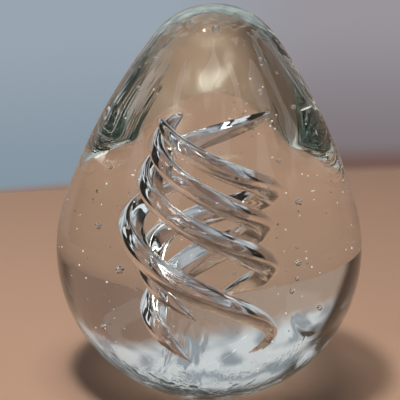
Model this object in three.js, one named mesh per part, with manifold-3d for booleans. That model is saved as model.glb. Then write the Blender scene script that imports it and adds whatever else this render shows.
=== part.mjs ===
// A solid glass paperweight: an egg of clear glass cast round a glass core, four ribbons of
// trapped air twisted round inside the core, and bubbles caught between the core and the casing.
// Millimetres, +Z up. The origin is the centre of the ground base, which is the face z = 0.
// A bearing is an angle in degrees seen from above: 0 is the front (-Y) and 90 is +X.

import * as THREE from 'three';
import { mergeVertices } from 'three/addons/utils/BufferGeometryUtils.js';
import Module from 'manifold-3d';

const wasm = await Module();
wasm.setup();

// ---- Driving dimensions ----

const GAP = 0.3; // clearance between neighbouring pieces, which are fused in the real glass

// An egg form: a round belly, a nearly straight flank and a round crown, each tangent to the next.
const CASING = {
  height: 94.6,
  bellyRadius: 38,
  bellyHeight: 33.9,
  heelDepth: 38, // how far below the belly the form would reach if the base did not cut it
  flankRadius: 140,
  crownRadius: 18.2,
};
const CORE = {
  height: 85,
  bellyRadius: 18.7,
  bellyHeight: 26,
  heelDepth: 33,
  flankRadius: 140,
  crownRadius: 10,
};
const SLOT_GAP = 0.35; // a little over the gap, because the flat sides of a slot cut its corners

// The ribbons turn left-handed: they fall as their bearing grows.
const TWIST = {
  pitch: 34, // height lost in one whole turn
  forward: 1.5, // how far the twist's axis stands in front of the egg's own
  leanDegrees: 2.5, // the twist's axis leans towards +X as it rises
  uprightHeight: 42, // height at which the leaning axis is straight in front of the egg's own
};
const RIBBON = {
  halfDepth: 2.4, // measured outwards from the twist's axis
  halfThickness: 2.3, // measured square to the depth
  fullness: 0.25, // how much thicker the outer side is than the inner side
  topTail: 90, // degrees of turn over which a ribbon grows from its upper tip
  bottomInset: 2, // how far the lower tip is drawn in towards the twist's axis
  degreesPerSection: 11,
  sides: 8,
};
// Reach is the distance from the twist's axis to the outer edge, at the top and at the bottom.
// Lift is how far the upper tip is drawn up above the helix.
// Tail is the degrees of turn over which the ribbon dwindles to its lower tip.
const RIBBONS = [
  { start: -80, end: 352, frontHeight: 56, lift: 1, tail: 120, reach: [13, 11.6] },
  { start: -145, end: 348, frontHeight: 47.8, lift: 1, tail: 120, reach: [12.1, 10.2] },
  { start: -225, end: 166, frontHeight: 39.6, lift: 2.5, tail: 120, reach: [13.4, 12.9] },
  { start: -172, end: 136, frontHeight: 28.6, lift: 1, tail: 190, reach: [16, 14.9] },
];

// The larger bubbles on the face between core and casing, by height, bearing and radius.
const BUBBLES = [
  { height: 85.1, bearing: -90, radius: 0.8 },
  { height: 77, bearing: -106, radius: 0.7 },
  { height: 69, bearing: -109, radius: 0.65 },
  { height: 73, bearing: 51, radius: 0.7 },
  { height: 66, bearing: 102, radius: 0.55 },
  { height: 57, bearing: 54, radius: 0.5 },
  { height: 50, bearing: -101, radius: 0.5 },
  { height: 46.5, bearing: 68, radius: 0.75 },
  { height: 36, bearing: -101, radius: 0.65 },
  { height: 34, bearing: 62, radius: 0.6 },
  { height: 29, bearing: 56, radius: 0.55 },
  { height: 26, bearing: -139, radius: 0.6 },
  { height: 24, bearing: 90, radius: 0.5 },
  { height: 22.5, bearing: -23, radius: 0.5 },
  { height: 20, bearing: -77, radius: 0.6 },
];

const CASING_SEGMENTS = 48;
const CORE_SEGMENTS = 34;

// ---- Materials ----

const glass = new THREE.MeshStandardMaterial({ color: 0xdfe8e4, roughness: 0.03, metalness: 0 });
const coreGlass = new THREE.MeshStandardMaterial({ color: 0xd9dfdc, roughness: 0.03, metalness: 0 });
const air = new THREE.MeshStandardMaterial({ color: 0xb9c2c8, roughness: 0.08, metalness: 0.2 });
const bubbleAir = new THREE.MeshStandardMaterial({ color: 0xf2f4f5, roughness: 0.1, metalness: 0 });

// ---- Egg outlines ----

function arc(centreX, centreZ, radiusX, radiusZ, from, to, steps) {
  const points = [];
  for (let i = 0; i <= steps; i += 1) {
    const angle = from + ((to - from) * i) / steps;
    const x = centreX + radiusX * Math.cos(angle);
    const z = centreZ + radiusZ * Math.sin(angle);
    points.push(new THREE.Vector2(x, z));
  }
  return points;
}

// Points from the base up to the top of an egg form, grown outwards by an offset.
function eggOutline(form, offset, steps) {
  const belly = form.bellyRadius;
  const heel = Math.asin(-form.bellyHeight / (form.heelDepth + offset));
  const crownHeight = form.height - form.crownRadius;
  const rise = crownHeight - form.bellyHeight;
  const toCrown = form.flankRadius - form.crownRadius;
  const toBelly = form.flankRadius - belly;
  const drop = (toBelly ** 2 - toCrown ** 2 + rise ** 2) / (2 * rise);
  const flankX = -Math.sqrt(toBelly ** 2 - drop ** 2);
  const flankZ = form.bellyHeight + drop;
  const bellyEnd = Math.atan2(-drop, -flankX);
  const crownStart = Math.atan2(crownHeight - flankZ, -flankX);
  const flank = form.flankRadius + offset;
  const crown = form.crownRadius + offset;
  const points = [
    ...arc(0, form.bellyHeight, belly + offset, form.heelDepth + offset, heel, 0, steps.heel),
    ...arc(0, form.bellyHeight, belly + offset, belly + offset, 0, bellyEnd, steps.belly).slice(1),
    ...arc(flankX, flankZ, flank, flank, bellyEnd, crownStart, steps.flank).slice(1),
    ...arc(0, crownHeight, crown, crown, crownStart, Math.PI / 2, steps.crown).slice(1),
  ];
  points[points.length - 1].x = 0;
  return points;
}

const CORE_STEPS = { heel: 5, belly: 1, flank: 5, crown: 4 };
const casingOutline = eggOutline(CASING, 0, { heel: 7, belly: 3, flank: 5, crown: 6 });
const coreOutline = eggOutline(CORE, 0, CORE_STEPS);
const cavityOutline = eggOutline(CORE, GAP, CORE_STEPS);

// Distance from the axis to an outline at a height.
function outlineRadius(outline, height) {
  for (let i = 1; i < outline.length; i += 1) {
    const low = outline[i - 1];
    const high = outline[i];
    if (height <= high.y) {
      return low.x + ((high.x - low.x) * (height - low.y)) / (high.y - low.y);
    }
  }
  return 0;
}

// A lathe turned about Z. The outline runs anticlockwise, from one axis point to another.
function latheAboutZ(outline, segments) {
  const geometry = new THREE.LatheGeometry(outline, segments);
  geometry.rotateX(Math.PI / 2);
  return geometry;
}

// ---- Joining and cutting ----

function toSolid(geometry) {
  const plain = geometry.clone();
  plain.deleteAttribute('normal');
  plain.deleteAttribute('uv');
  const merged = mergeVertices(plain, 1e-4);
  const vertProperties = new Float32Array(merged.attributes.position.array);
  const triVerts = new Uint32Array(merged.index.array);
  return new wasm.Manifold(new wasm.Mesh({ numProp: 3, vertProperties, triVerts }));
}

// Cuts that graze each other can leave crumbs, so only the largest body is kept.
function largestBody(solid) {
  return solid.decompose().reduce((best, body) => (body.volume() > best.volume() ? body : best));
}

function toGeometry(solid) {
  const mesh = largestBody(solid).getMesh();
  const geometry = new THREE.BufferGeometry();
  geometry.setAttribute('position', new THREE.BufferAttribute(mesh.vertProperties, 3));
  geometry.setIndex(new THREE.BufferAttribute(mesh.triVerts, 1));
  return geometry;
}

// ---- Ribbons ----

// How much of a tail is still missing at a distance from its tip: 1 at the tip, 0 past its length.
function missingTail(distance, length) {
  return 1 - THREE.MathUtils.clamp(distance / length, 0, 1);
}

// The middle of a ribbon's section at a bearing, with its directions outwards and across.
function ribbonFrame(ribbon, bearing) {
  const angle = THREE.MathUtils.degToRad(bearing);
  const atTop = missingTail(bearing - ribbon.start, RIBBON.topTail) ** 2;
  const atBottom = missingTail(ribbon.end - bearing, ribbon.tail) ** 2;
  const height = ribbon.frontHeight - (TWIST.pitch * bearing) / 360 + ribbon.lift * atTop;
  const done = (bearing - ribbon.start) / (ribbon.end - ribbon.start);
  const reach = THREE.MathUtils.lerp(ribbon.reach[0], ribbon.reach[1], done);
  const radius = reach - RIBBON.halfDepth - RIBBON.bottomInset * atBottom;
  const outwards = new THREE.Vector3(Math.sin(angle), -Math.cos(angle), 0);
  const along = new THREE.Vector3(Math.cos(angle), Math.sin(angle), 0).multiplyScalar(radius);
  along.z = -TWIST.pitch / (2 * Math.PI);
  along.normalize();
  const shift = Math.tan(THREE.MathUtils.degToRad(TWIST.leanDegrees)) * (height - TWIST.uprightHeight);
  const centre = new THREE.Vector3(shift, -TWIST.forward, height);
  const middle = centre.addScaledVector(outwards, radius);
  return { middle, radius, outwards, across: new THREE.Vector3().crossVectors(along, outwards) };
}

// A ribbon's size at a bearing, as a share of its full section.
function ribbonSize(ribbon, bearing) {
  const top = missingTail(bearing - ribbon.start, RIBBON.topTail);
  const bottom = missingTail(ribbon.end - bearing, ribbon.tail);
  return Math.sqrt((1 - top ** 2) * (1 - bottom ** 2));
}

function placeSection(frame, section) {
  return section.map(([out, side]) => frame.middle.clone()
    .addScaledVector(frame.outwards, out)
    .addScaledVector(frame.across, side));
}

// An oval section, fuller on its outer side.
function ribbonSection(size) {
  const section = [];
  for (let i = 0; i < RIBBON.sides; i += 1) {
    const angle = (2 * Math.PI * i) / RIBBON.sides;
    const thickness = RIBBON.halfThickness * (1 + RIBBON.fullness * Math.cos(angle));
    section.push([RIBBON.halfDepth * size * Math.cos(angle), thickness * size * Math.sin(angle)]);
  }
  return section;
}

// The section of a slot, round inside and open to the outside of the core.
function slotSection(size, openTo) {
  const widest = 1 + RIBBON.fullness / 4;
  const depth = RIBBON.halfDepth * size + SLOT_GAP;
  const half = RIBBON.halfThickness * widest * size + SLOT_GAP;
  const section = [[openTo, -half], [openTo, half]];
  for (let i = 0; i <= 4; i += 1) {
    const angle = Math.PI / 2 + (Math.PI * i) / 4;
    section.push([depth * Math.cos(angle), half * Math.sin(angle)]);
  }
  return section;
}

// A closed solid through a list of sections, each with the same number of points.
function loft(sections) {
  const sides = sections[0].length;
  const positions = [];
  const faces = [];
  sections.flat().forEach((point) => positions.push(point.x, point.y, point.z));
  for (let i = 0; i < sections.length - 1; i += 1) {
    for (let j = 0; j < sides; j += 1) {
      const a = i * sides + j;
      const b = i * sides + ((j + 1) % sides);
      faces.push(a, b, b + sides);
      faces.push(a, b + sides, a + sides);
    }
  }
  const last = (sections.length - 1) * sides;
  for (let j = 1; j < sides - 1; j += 1) {
    faces.push(0, j + 1, j);
    faces.push(last, last + j, last + j + 1);
  }
  const geometry = new THREE.BufferGeometry();
  geometry.setAttribute('position', new THREE.Float32BufferAttribute(positions, 3));
  geometry.setIndex(faces);
  return geometry;
}

function ribbonBearings(ribbon, margin) {
  const from = ribbon.start - margin;
  const to = ribbon.end + margin;
  const steps = Math.round((to - from) / RIBBON.degreesPerSection);
  return Array.from({ length: steps + 1 }, (_, i) => from + ((to - from) * i) / steps);
}

function ribbonSolid(ribbon) {
  const tipInset = 1.5; // degrees, so that each tip is a very small section rather than a point
  const sections = ribbonBearings(ribbon, -tipInset).map((bearing) => (
    placeSection(ribbonFrame(ribbon, bearing), ribbonSection(ribbonSize(ribbon, bearing)))
  ));
  return loft(sections);
}

function slotSolid(ribbon) {
  const endMargin = 4;
  const openRadius = CORE.bellyRadius + 4;
  const sections = ribbonBearings(ribbon, endMargin).map((bearing) => {
    const frame = ribbonFrame(ribbon, bearing);
    return placeSection(frame, slotSection(ribbonSize(ribbon, bearing), openRadius - frame.radius));
  });
  return loft(sections);
}

// ---- Bubbles ----

function bubbleSphere(bubble, extra) {
  const angle = THREE.MathUtils.degToRad(bubble.bearing);
  const faceHeight = Math.min(bubble.height, CORE.height);
  const distance = outlineRadius(coreOutline, faceHeight) + GAP / 2;
  const fromAxis = bubble.height > CORE.height ? 0 : distance;
  const geometry = new THREE.IcosahedronGeometry(bubble.radius + extra, 1);
  geometry.translate(fromAxis * Math.sin(angle), -fromAxis * Math.cos(angle), bubble.height);
  return geometry;
}

// ---- Assembly ----

const paperweight = new THREE.Group();

function addPiece(name, geometry, material) {
  const mesh = new THREE.Mesh(geometry, material);
  mesh.name = name;
  paperweight.add(mesh);
}

const pockets = BUBBLES.map((bubble) => toSolid(bubbleSphere(bubble, GAP)));

// The casing: down the wall of the cavity, out over the ground ring, then up the outside.
function casingGeometry() {
  const outline = [...cavityOutline.slice().reverse(), ...casingOutline];
  let solid = toSolid(latheAboutZ(outline, CASING_SEGMENTS));
  pockets.forEach((pocket) => {
    solid = solid.subtract(pocket);
  });
  return toGeometry(solid);
}

function coreGeometry() {
  const outline = [new THREE.Vector2(0, 0), ...coreOutline];
  let solid = toSolid(latheAboutZ(outline, CORE_SEGMENTS));
  RIBBONS.forEach((ribbon) => {
    solid = solid.subtract(toSolid(slotSolid(ribbon)));
  });
  pockets.forEach((pocket) => {
    solid = solid.subtract(pocket);
  });
  return toGeometry(solid);
}

addPiece('outer_casing', casingGeometry(), glass);
addPiece('core_gather', coreGeometry(), coreGlass);
RIBBONS.forEach((ribbon, index) => {
  addPiece(`air_ribbon_${index + 1}`, ribbonSolid(ribbon), air);
});
BUBBLES.forEach((bubble, index) => {
  const number = String(index + 1).padStart(2, '0');
  addPiece(`seed_bubble_${number}`, toGeometry(toSolid(bubbleSphere(bubble, 0))), bubbleAir);
});

export default paperweight;
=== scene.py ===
"""A solid glass egg paperweight: four twisted air ribbons, bubbles and seeds in clear glass.

The scene is in metres, +Z up, with the front of the paperweight towards -Y. The shapes are worked
out in millimetres. Bearings are degrees seen from above, 0 at the front (-Y) and 90 at +X.
"""

import math
import random
from typing import NamedTuple

import bmesh
import bpy
import numpy as np
from mathutils import Matrix, Vector


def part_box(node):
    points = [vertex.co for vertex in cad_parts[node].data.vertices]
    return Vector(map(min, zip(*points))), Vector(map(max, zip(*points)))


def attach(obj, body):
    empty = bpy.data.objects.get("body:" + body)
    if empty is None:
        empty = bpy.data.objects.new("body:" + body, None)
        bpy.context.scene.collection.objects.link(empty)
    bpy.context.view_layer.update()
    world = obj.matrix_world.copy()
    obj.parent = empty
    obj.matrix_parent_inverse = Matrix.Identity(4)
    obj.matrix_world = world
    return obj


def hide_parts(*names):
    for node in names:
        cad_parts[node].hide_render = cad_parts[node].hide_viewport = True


MM = 0.001

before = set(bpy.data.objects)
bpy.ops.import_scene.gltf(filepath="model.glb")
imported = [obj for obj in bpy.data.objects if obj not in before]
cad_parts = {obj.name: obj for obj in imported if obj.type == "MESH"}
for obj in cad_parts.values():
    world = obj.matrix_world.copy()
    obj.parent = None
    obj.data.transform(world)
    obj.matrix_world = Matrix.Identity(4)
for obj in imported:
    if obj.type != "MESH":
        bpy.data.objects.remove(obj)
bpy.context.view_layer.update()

# ---- The glass egg's outline, in millimetres ----

CASING = {
    "height": 94.6,
    "belly_radius": 38.0,
    "belly_height": 33.9,
    "heel_depth": 38.0,
    "flank_radius": 140.0,
    "crown_radius": 18.2,
}
OUTLINE_STEPS = 48


def arc(centre_x, centre_z, radius_x, radius_z, start, end, steps):
    angles = np.linspace(start, end, steps + 1)
    return np.stack([centre_x + radius_x * np.cos(angles), centre_z + radius_z * np.sin(angles)], 1)


def egg_outline():
    """(radius, height) points from the base up to the top: heel, belly, flank and crown arcs."""
    belly, crown, flank = (CASING[part + "_radius"] for part in ("belly", "crown", "flank"))
    low = CASING["belly_height"]
    high = CASING["height"] - crown
    rise = high - low
    drop = ((flank - belly) ** 2 - (flank - crown) ** 2 + rise**2) / (2 * rise)
    flank_x = -math.sqrt((flank - belly) ** 2 - drop**2)
    flank_z = low + drop
    belly_end = math.atan2(-drop, -flank_x)
    crown_start = math.atan2(high - flank_z, -flank_x)
    heel = math.asin(-low / CASING["heel_depth"])
    parts = [
        arc(0, low, belly, CASING["heel_depth"], heel, 0, OUTLINE_STEPS),
        arc(0, low, belly, belly, 0, belly_end, OUTLINE_STEPS // 3)[1:],
        arc(flank_x, flank_z, flank, flank, belly_end, crown_start, OUTLINE_STEPS)[1:],
        arc(0, high, crown, crown, crown_start, math.pi / 2, OUTLINE_STEPS)[1:-1],
    ]
    return np.concatenate(parts)


# ---- Mesh helpers ----


def make_object(name, points, faces, material, scale=MM):
    mesh = bpy.data.meshes.new(name)
    mesh.from_pydata([tuple(p) for p in np.asarray(points) * scale], [], faces)
    mesh.validate()
    mesh.shade_smooth()
    obj = bpy.data.objects.new(name, mesh)
    bpy.context.scene.collection.objects.link(obj)
    mesh.materials.append(material)
    return obj


def closed_tube(rings, first_tip, last_tip, flip=False):
    """Points and faces of a tube through equal rings, with a fan to a tip at each end."""
    columns = len(rings[0])
    first = len(rings) * columns
    last_ring = first - columns
    neighbours = [(j, (j + 1) % columns) for j in range(columns)]
    faces = []
    for ring in range(0, last_ring, columns):
        for j, k in neighbours:
            faces.append([ring + j, ring + k, ring + columns + k, ring + columns + j])
    for j, k in neighbours:
        faces.append([k, j, first])
        faces.append([last_ring + j, last_ring + k, first + 1])
    if flip:
        faces = [face[::-1] for face in faces]
    return np.concatenate([*rings, [first_tip, last_tip]]), faces


def sphere_mesh(subdivisions):
    """A unit sphere whose faces look inwards, since the bubbles are voids in glass."""
    ball = bmesh.new()
    bmesh.ops.create_icosphere(ball, subdivisions=subdivisions, radius=1)
    points = np.array([v.co for v in ball.verts])
    faces = [[v.index for v in f.verts][::-1] for f in ball.faces]
    ball.free()
    return points, faces


# ---- Materials ----

GLASS_IOR = 1.5
CLEAR = (1, 1, 1)
RIBBON_SHADE_TINT = (0.76, 0.77, 0.81)  # painted shade: a grey tint that darkens what is seen through a ribbon, not what it mirrors
GREEN_CAST = (0.72, 0.9, 0.8)
CAST_DENSITY = 3.0
BASE_ROUGHNESS = 0.1
BASE_EDGE = (0.0001, 0.0004)  # heights between which the ground base turns into polished glass
SCUFF_HEIGHTS = (0.022, 0.006)  # from no scuffs to full scuffs, going down
SCUFF_GRAIN = (260, 260, 70)  # noise cells per metre, fewest along a leaning axis: dashes


class Nodes:
    """Short calls for building a node tree: sockets and numbers go in, sockets come out."""

    def __init__(self, tree):
        self.tree = tree

    def add(self, kind, **settings):
        node = self.tree.nodes.new("ShaderNode" + kind)
        for name, value in settings.items():
            setattr(node, name, value)
        return node

    def feed(self, socket, value):
        if isinstance(value, bpy.types.NodeSocket):
            self.tree.links.new(value, socket)
        elif value is not None:
            socket.default_value = value

    def math(self, operation, *values):
        node = self.add("Math", operation=operation)
        for socket, value in zip(node.inputs, values):
            self.feed(socket, value)
        return node.outputs[0]

    def smooth(self, value, low, high, to_low=0.0, to_high=1.0):
        """A smooth step of value between low and high."""
        node = self.add("MapRange", interpolation_type="SMOOTHSTEP")
        for socket, number in zip(node.inputs, (value, low, high, to_low, to_high)):
            self.feed(socket, number)
        return node.outputs[0]

    def mix(self, share, first, second, blend="MIX"):
        node = self.add("Mix", data_type="RGBA", blend_type=blend)
        self.feed(node.inputs[0], share)
        for socket, value in zip(node.inputs[6:8], (first, second)):
            self.feed(socket, value if isinstance(value, bpy.types.NodeSocket) else (*value, 1))
        return node.outputs[2]

    def noise(self, vector, scale, detail, roughness=0.5):
        node = self.add("TexNoise")
        values = {"Vector": vector, "Scale": scale, "Detail": detail, "Roughness": roughness}
        for name, value in values.items():
            self.feed(node.inputs[name], value)
        return node.outputs["Fac"]

    def split(self, vector):
        node = self.add("SeparateXYZ")
        self.feed(node.inputs[0], vector)
        return node.outputs


def new_material(name):
    material = bpy.data.materials.new(name)
    material.use_nodes = True
    return material, material.node_tree.nodes["Principled BSDF"]


def glass_material(name, tint):
    material, shader = new_material(name)
    shader.inputs["Roughness"].default_value = 0
    shader.inputs["Base Color"].default_value = (*tint, 1)
    shader.inputs["IOR"].default_value = GLASS_IOR
    shader.inputs["Transmission Weight"].default_value = 1
    return material, shader


def make_clear_glass():
    """Faintly green glass, scuffed round the heel and ground a little dull on the base."""
    material, shader = glass_material("clear_glass", CLEAR)
    make = Nodes(material.node_tree)
    volume = make.add("VolumeAbsorption")
    volume.inputs["Color"].default_value = (*GREEN_CAST, 1)
    volume.inputs["Density"].default_value = CAST_DENSITY
    make.feed(material.node_tree.nodes["Material Output"].inputs["Volume"], volume.outputs[0])

    place = make.add("TexCoord").outputs["Object"]
    height = make.split(place)[2]
    make.feed(shader.inputs["Roughness"], make.smooth(height, *BASE_EDGE, BASE_ROUGHNESS, 0.0))

    grain = make.add("Mapping")
    make.feed(grain.inputs["Vector"], place)
    grain.inputs["Rotation"].default_value = (0.4, 0.6, 0)
    grain.inputs["Scale"].default_value = SCUFF_GRAIN
    scuffs = make.smooth(make.noise(grain.outputs[0], 1.0, 3.0, 0.6), 0.5, 0.72)
    above_base = make.smooth(height, *BASE_EDGE)
    heel = make.math("MULTIPLY", make.smooth(height, *SCUFF_HEIGHTS), above_base)
    bump = make.add("Bump")
    make.feed(bump.inputs["Height"], make.math("MULTIPLY", scuffs, heel))
    bump.inputs["Strength"].default_value = 0.4
    bump.inputs["Distance"].default_value = 0.0006
    make.feed(shader.inputs["Normal"], bump.outputs[0])
    return material


def make_painted_glint():
    """The tiniest bubbles, with a painted glint: a faint glow that stands in for lamp glints too
    small to show a lamp's image by themselves.
    """
    material, shader = new_material("glint")
    # painted glint: the specks glow faintly instead of mirroring a lamp
    shader.inputs["Emission Color"].default_value = (1, 0.96, 0.88, 1)
    shader.inputs["Emission Strength"].default_value = 0.7
    material.cycles.emission_sampling = "NONE"
    return material


clear_glass = make_clear_glass()
# the ribbon walls carry the painted shade tint
ribbon_wall = glass_material("ribbon_wall", RIBBON_SHADE_TINT)[0]
bubble_wall = glass_material("bubble_wall", CLEAR)[0]
glint = make_painted_glint()


# ---- The egg ----

EGG_SEGMENTS = 192
WAVE = 0.010  # millimetres of hand-made waviness
WAVE_START = 10  # millimetres over which the waviness sets in above the base


def make_egg():
    bearings = np.arange(EGG_SEGMENTS) * 2 * math.pi / EGG_SEGMENTS
    rings = []
    for radius, height in egg_outline():
        wave = np.sin(3 * bearings + height / 9) * math.sin(height / 13 + 1)
        wave = wave + 0.6 * np.sin(5 * bearings - height / 6) * math.sin(height / 7)
        hand_made = radius + WAVE * wave * min(height / WAVE_START, 1)
        x, y = hand_made * np.sin(bearings), -hand_made * np.cos(bearings)
        rings.append(np.stack([x, y, np.full(EGG_SEGMENTS, height)], 1))
    points, faces = closed_tube(rings, (0, 0, 0), (0, 0, CASING["height"]))
    egg = make_object("glass_egg", points, faces, clear_glass)
    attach(egg, "root")
    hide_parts("outer_casing", "core_gather")


# ---- The air ribbons ----


class Ribbon(NamedTuple):
    start: int  # bearing of the upper tip
    end: int  # bearing of the lower tip
    front_height: float  # height where the ribbon passes bearing 0
    lift: float  # how far the upper tip rises over the helix
    tail: float  # degrees of turn over which the ribbon dwindles to its lower tip
    reach: tuple  # distance of the outer edge from the axis, at the upper and the lower tip


RIBBONS = [
    Ribbon(start=-80, end=352, front_height=56.0, lift=1.0, tail=120, reach=(13.0, 11.6)),
    Ribbon(start=-145, end=348, front_height=47.8, lift=1.0, tail=120, reach=(12.1, 10.2)),
    Ribbon(start=-225, end=166, front_height=39.6, lift=2.5, tail=120, reach=(13.4, 12.9)),
    Ribbon(start=-172, end=136, front_height=28.6, lift=1.0, tail=190, reach=(16.0, 14.9)),
]
PITCH = 34.0
TOP_TAIL = 90.0  # degrees of turn over which a ribbon dwindles to its upper tip
BOTTOM_INSET = 2.0  # how far a lower tip draws in towards the axis
FORWARD = 1.5  # how far the helix axis stands in front of the egg's
LEAN = math.radians(2.5)  # of the helix axis, to the right going up
UPRIGHT_HEIGHT = 42.0  # where the leaning axis passes over the middle
HALF_DEPTH = 2.4
HALF_THICKNESS = 2.4
FULLNESS = 0.25  # how much thicker the section is towards its outer side
RIDGE = 1.4  # 1 is an oval section, 2 a diamond
FLUTES = 7
FLUTE_DEPTH = 0.015  # as a share of the section
FLUTE_DRIFT = 0.02  # radians that the flutes turn round the section per degree of bearing
LOWER_TIP_TAPER = 0.85  # 0.5 is as round as the upper tip, 1 is more pointed
RIBBON_SIDES = 72
DEGREES_PER_SECTION = 2
TIP = 0.4  # degrees by which the last section stops short of a tip
RIBBON_EXTENT = 3.4  # no point of a ribbon's wall is farther than this from its middle line


def missing_tail(distance, length):
    return 1 - min(max(distance / length, 0), 1)


def ribbon_frame(ribbon, bearing):
    """A section's middle, its outward and thickness directions, and its size from 0 to 1."""
    angle = math.radians(bearing)
    at_top = missing_tail(bearing - ribbon.start, TOP_TAIL) ** 2
    at_bottom = missing_tail(ribbon.end - bearing, ribbon.tail) ** 2
    height = ribbon.front_height - PITCH * bearing / 360 + ribbon.lift * at_top
    done = (bearing - ribbon.start) / (ribbon.end - ribbon.start)
    reach = ribbon.reach[0] + (ribbon.reach[1] - ribbon.reach[0]) * done
    radius = reach - HALF_DEPTH - BOTTOM_INSET * at_bottom
    outwards = np.array([math.sin(angle), -math.cos(angle), 0])
    sunk = -PITCH / (2 * math.pi)
    along = np.array([math.cos(angle) * radius, math.sin(angle) * radius, sunk])
    along /= np.linalg.norm(along)
    shift = math.tan(LEAN) * (height - UPRIGHT_HEIGHT)
    middle = outwards * radius + np.array([shift, -FORWARD, height])
    size = math.sqrt(1 - at_top) * (1 - at_bottom) ** LOWER_TIP_TAPER
    return middle, outwards, np.cross(along, outwards), size


def power_wave(wave):
    """A cosine or sine raised to the ridge power, with its sign kept."""
    return np.sign(wave) * np.abs(wave) ** RIDGE


def make_ribbon(number, ribbon):
    angles = np.arange(RIBBON_SIDES) * 2 * math.pi / RIBBON_SIDES
    cosine, sine = np.cos(angles), np.sin(angles)
    steps = int((ribbon.end - ribbon.start) / DEGREES_PER_SECTION)
    rings = []
    for bearing in np.linspace(ribbon.start + TIP, ribbon.end - TIP, steps):
        middle, outwards, across, size = ribbon_frame(ribbon, bearing)
        flute = 1 + FLUTE_DEPTH * np.cos(FLUTES * angles + FLUTE_DRIFT * bearing + number)
        out = HALF_DEPTH * size * flute * power_wave(cosine)
        side = HALF_THICKNESS * size * flute * (1 + FULLNESS * cosine) * power_wave(sine)
        rings.append(middle + np.outer(out, outwards) + np.outer(side, across))
    points, faces = closed_tube(rings, rings[0].mean(0), rings[-1].mean(0), flip=True)
    piece = make_object(f"ribbon_void_{number}", points, faces, ribbon_wall)
    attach(piece, "root")
    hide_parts(f"air_ribbon_{number}")


# ---- Bubbles and seeds ----


def make_bubble(node):
    low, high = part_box(node)
    centre = np.array((low + high) / 2) / MM
    radius = (high.z - low.z) / 2 / MM
    points, faces = sphere_mesh(4)
    name = node.replace("seed_", "") + "_void"
    piece = make_object(name, points * radius + centre, faces, bubble_wall)
    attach(piece, "root")
    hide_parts(node)


# Where the tiny seeds gather: bearing, height and distance from the axis, spread and number.
SEED_CLUSTERS = [
    (48, 66, 16, 4.5, 16),
    (52, 31, 20, 3.5, 16),
    (30, 20, 17, 3, 7),
    (-62, 47, 24, 4, 12),
    (-66, 74, 15, 4, 9),
    (-40, 24, 26, 5, 9),
    (70, 50, 24, 6, 10),
    (-20, 60, 19, 5, 6),
    (-75, 36, 25, 6, 12),
    (60, 76, 13, 4, 8),
]
SCATTERED_SEEDS = 150
# share of the seeds that get the painted glint, a glow in place of lamp glints
PAINTED_GLINT_SHARE = 0.45
SKIN = 2  # millimetres of glass under the egg's surface that stay free of seeds
SEED_HEIGHTS = (3, 88)


def ribbon_distance(place):
    """A safe low estimate of the distance from a place to the nearest ribbon's wall."""
    nearest = 100
    for ribbon in RIBBONS:
        for bearing in range(ribbon.start, ribbon.end, 6):
            middle = ribbon_frame(ribbon, bearing)[0]
            nearest = min(nearest, float(np.linalg.norm(place - middle)) - RIBBON_EXTENT)
    return nearest


def seed_places(dice):
    """Places for the seeds: loose clusters, then a thin scatter all round."""
    places = []
    for bearing, height, distance, spread, count in SEED_CLUSTERS:
        angle = math.radians(bearing)
        middle = np.array([distance * math.sin(angle), -distance * math.cos(angle), height])
        for _ in range(count):
            places.append(middle + [dice.gauss(0, spread) for _ in range(3)])
    for _ in range(SCATTERED_SEEDS):
        angle = dice.uniform(0, 2 * math.pi)
        distance = 17 + 15 * math.sqrt(dice.random())
        height = dice.uniform(6, 84)
        places.append(np.array([distance * math.sin(angle), distance * math.cos(angle), height]))
    return places


def make_seeds():
    """The tiny bubbles, in two pieces: larger clear ones and the smallest, which get a painted
    glint.
    """
    dice = random.Random(11)
    ball, ball_faces = sphere_mesh(2)
    outline = egg_outline()
    # the seeds with the painted glint go in a piece of their own
    clouds = {"seed_cloud": (bubble_wall, [], []), "seed_glints": (glint, [], [])}
    for place in seed_places(dice):
        painted_glints = dice.random() < PAINTED_GLINT_SHARE
        _, points, faces = clouds["seed_glints" if painted_glints else "seed_cloud"]
        draw = dice.random()
        radius = (0.1 + 0.12 * draw**2) if painted_glints else (0.16 + 0.34 * draw**3)
        inside = np.interp(place[2], outline[:, 1], outline[:, 0]) - SKIN
        clear = min(ribbon_distance(place), inside - math.hypot(place[0], place[1]))
        if clear > radius + 0.2 and SEED_HEIGHTS[0] < place[2] < SEED_HEIGHTS[1]:
            faces += [[i + len(points) * len(ball) for i in face] for face in ball_faces]
            points.append(ball * radius + place)
    for name, (material, points, faces) in clouds.items():
        piece = make_object(name, np.concatenate(points), faces, material)
        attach(piece, "root")


make_egg()
for number, ribbon in enumerate(RIBBONS, 1):
    make_ribbon(number, ribbon)
for node in sorted(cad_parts):
    if node.startswith("seed_bubble"):
        make_bubble(node)
make_seeds()


# ---- Floor ----

FLOOR_DROP = 0.00005  # an air film that keeps the ground base optically free of the floor
FLOOR_COLOUR = (0.48, 0.312, 0.238)
FLOOR_CORNERS = [(-0.9, -0.9), (0.9, -0.9), (0.9, 0.549), (-0.9, -0.125)]


def make_floor():
    """A plain floor whose far edge runs away from the viewer to the right."""
    material, shader = new_material("floor")
    shader.inputs["Base Color"].default_value = (*FLOOR_COLOUR, 1)
    shader.inputs["Roughness"].default_value = 0.7
    points = [(x, y, -FLOOR_DROP) for x, y in FLOOR_CORNERS]
    floor = make_object("floor", points, [[0, 1, 2, 3]], material, 1)


make_floor()


# ---- Surroundings ----
# Colours by the direction that a ray leaves in: right is +X, back is +Y, and up is +Z, as parts
# of a unit vector.

DIM_ON_FLOOR = (0.06, 0.06, 0.06)  # the surroundings' share of light on the floor


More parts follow.
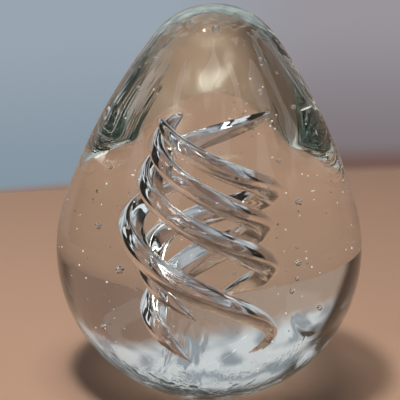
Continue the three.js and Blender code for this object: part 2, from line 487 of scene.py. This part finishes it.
def gathered_light(make, direction, right, back, up):
    """What the glass gathers: warm furniture low behind, pale sky over it, and a dim room."""
    furniture_left, furniture_right = (0.37, 0.27, 0.215), (0.22, 0.14, 0.105)
    sky_dark, sky_pale = (0.27, 0.31, 0.35), (0.62, 0.64, 0.66)
    room_dark, window_pane = (0.015, 0.013, 0.012), (0.75, 0.78, 0.82)

    furniture = make.mix(make.smooth(right, -0.3, 0.5), furniture_left, furniture_right)
    furniture_top = make.smooth(right, -0.2, 0.7, 0.05, 0.34)
    over_furniture = make.math("SUBTRACT", up, furniture_top)
    cloud = make.noise(direction, 8.0, 0.5)
    sky = make.mix(make.smooth(cloud, 0.36, 0.6), sky_dark, sky_pale)
    behind = make.mix(make.smooth(over_furniture, -0.05, 0.08), furniture, sky)

    panes = make.smooth(make.noise(direction, 5.0, 0.0), 0.6, 0.63)
    panes = make.math("MULTIPLY", panes, make.smooth(up, 0.3, 0.45))
    room = make.mix(panes, room_dark, window_pane)

    # The room takes over to the left, to the right, in front and overhead.
    leftwards = make.math("SUBTRACT", right, make.math("MULTIPLY", up, 0.5))
    around = make.mix(make.smooth(leftwards, -0.66, -0.78), behind, room)
    around = make.mix(make.smooth(right, 0.74, 0.86), around, room)
    around = make.mix(make.smooth(back, 0.35, 0.15), around, room)
    return make.mix(make.smooth(up, 0.52, 0.74), around, room)


def plain_backdrop(make, right, up):
    """What the camera sees past the glass: a plain backdrop, paler towards the top."""
    blue_low, blue_high = (0.235, 0.30, 0.36), (0.32, 0.38, 0.44)
    mauve_low, mauve_high = (0.209, 0.181, 0.195), (0.32, 0.30, 0.33)
    shade_at_floor, floor_glow = (0.17, 0.10, 0.085), (0.30, 0.19, 0.14)

    # The floor's far edge is a sloping line of directions, from this camera's place.
    over_floor = make.math("ADD", up, 0.2308)
    over_floor = make.math("SUBTRACT", over_floor, make.math("MULTIPLY", right, 0.083))
    blue = make.mix(make.smooth(over_floor, 0.0, 0.12), blue_low, blue_high)
    mauve = make.mix(make.smooth(over_floor, 0.01, 0.12), mauve_low, mauve_high)
    mauve = make.mix(make.smooth(over_floor, 0.004, 0.022), shade_at_floor, mauve)
    backdrop = make.mix(make.smooth(right, -0.06, 0.08), blue, mauve)
    return make.mix(make.smooth(over_floor, -0.002, 0.006), floor_glow, backdrop)


def make_surroundings():
    world = bpy.data.worlds.new("surroundings")
    bpy.context.scene.world = world
    world.use_nodes = True
    make = Nodes(world.node_tree)
    direction = make.add("TexCoord").outputs["Generated"]
    right, back, up = make.split(direction)
    path = make.add("LightPath").outputs
    dim = make.mix(make.smooth(path["Diffuse Depth"], 0.4, 0.6), CLEAR, DIM_ON_FLOOR)
    light = make.mix(1.0, gathered_light(make, direction, right, back, up), dim, "MULTIPLY")
    seen = make.mix(path["Is Camera Ray"], light, plain_backdrop(make, right, up))
    make.feed(world.node_tree.nodes["Background"].inputs["Color"], seen)


make_surroundings()


# ---- Lamps ----

LAMP_AIM = Vector((0, 0, 0.04))
# Name, place, size, power in watts, colour, and whether reflections show the lamp.
LAMPS = [
    ("main_lamp", (-0.078, -0.088, 0.45), (0.06, 0.06), 1.4, (1, 0.94, 0.84), False),
    ("second_lamp", (-0.035, -0.05, 0.9), (0.13, 0.13), 1.2, (1, 0.92, 0.78), False),
    ("third_lamp", (0.095, -0.06, 0.9), (0.14, 0.12), 1.0, (1, 0.92, 0.78), False),
    ("ceiling_glint", (-0.17, -0.02, 0.8), (0.045, 0.045), 0.3, (1, 1, 1), True),
    ("left_lamp", (-0.5, -0.1, 0.6), (0.1, 0.16), 0.3, (1, 0.98, 0.95), False),
]


def make_lamp(name, place, size, power, colour, mirrored):
    data = bpy.data.lights.new(name, "AREA")
    data.shape = "RECTANGLE"
    data.size, data.size_y = size
    data.energy = power
    data.color = colour
    lamp = bpy.data.objects.new(name, data)
    bpy.context.scene.collection.objects.link(lamp)
    lamp.location = place
    lamp.rotation_mode = "QUATERNION"
    lamp.rotation_quaternion = (LAMP_AIM - Vector(place)).to_track_quat("-Z", "Y")
    lamp.visible_glossy = mirrored


for lamp in LAMPS:
    make_lamp(*lamp)


# ---- Camera ----

CAMERA_PLACE = Vector((0, -0.330, 0.130))
CAMERA_AIM = Vector((-0.0026, 0, 0.0460))
CAMERA_ROLL = math.radians(1.7)
LENS = 123.5
SENSOR_WIDTH = 36


def make_camera():
    data = bpy.data.cameras.new("camera")
    data.sensor_width = SENSOR_WIDTH
    data.lens = LENS
    camera = bpy.data.objects.new("camera", data)
    bpy.context.scene.collection.objects.link(camera)
    bpy.context.scene.camera = camera
    camera.location = CAMERA_PLACE
    camera.rotation_mode = "QUATERNION"
    look = (CAMERA_AIM - CAMERA_PLACE).to_track_quat("-Z", "Y")
    camera.rotation_quaternion = look @ Matrix.Rotation(CAMERA_ROLL, 4, "Z").to_quaternion()


make_camera()

# Light crosses many walls of glass and air before it gets out.
scene = bpy.context.scene
scene.view_settings.view_transform = "Standard"
scene.cycles.max_bounces = 32
scene.cycles.transmission_bounces = 32
scene.cycles.glossy_bounces = 24
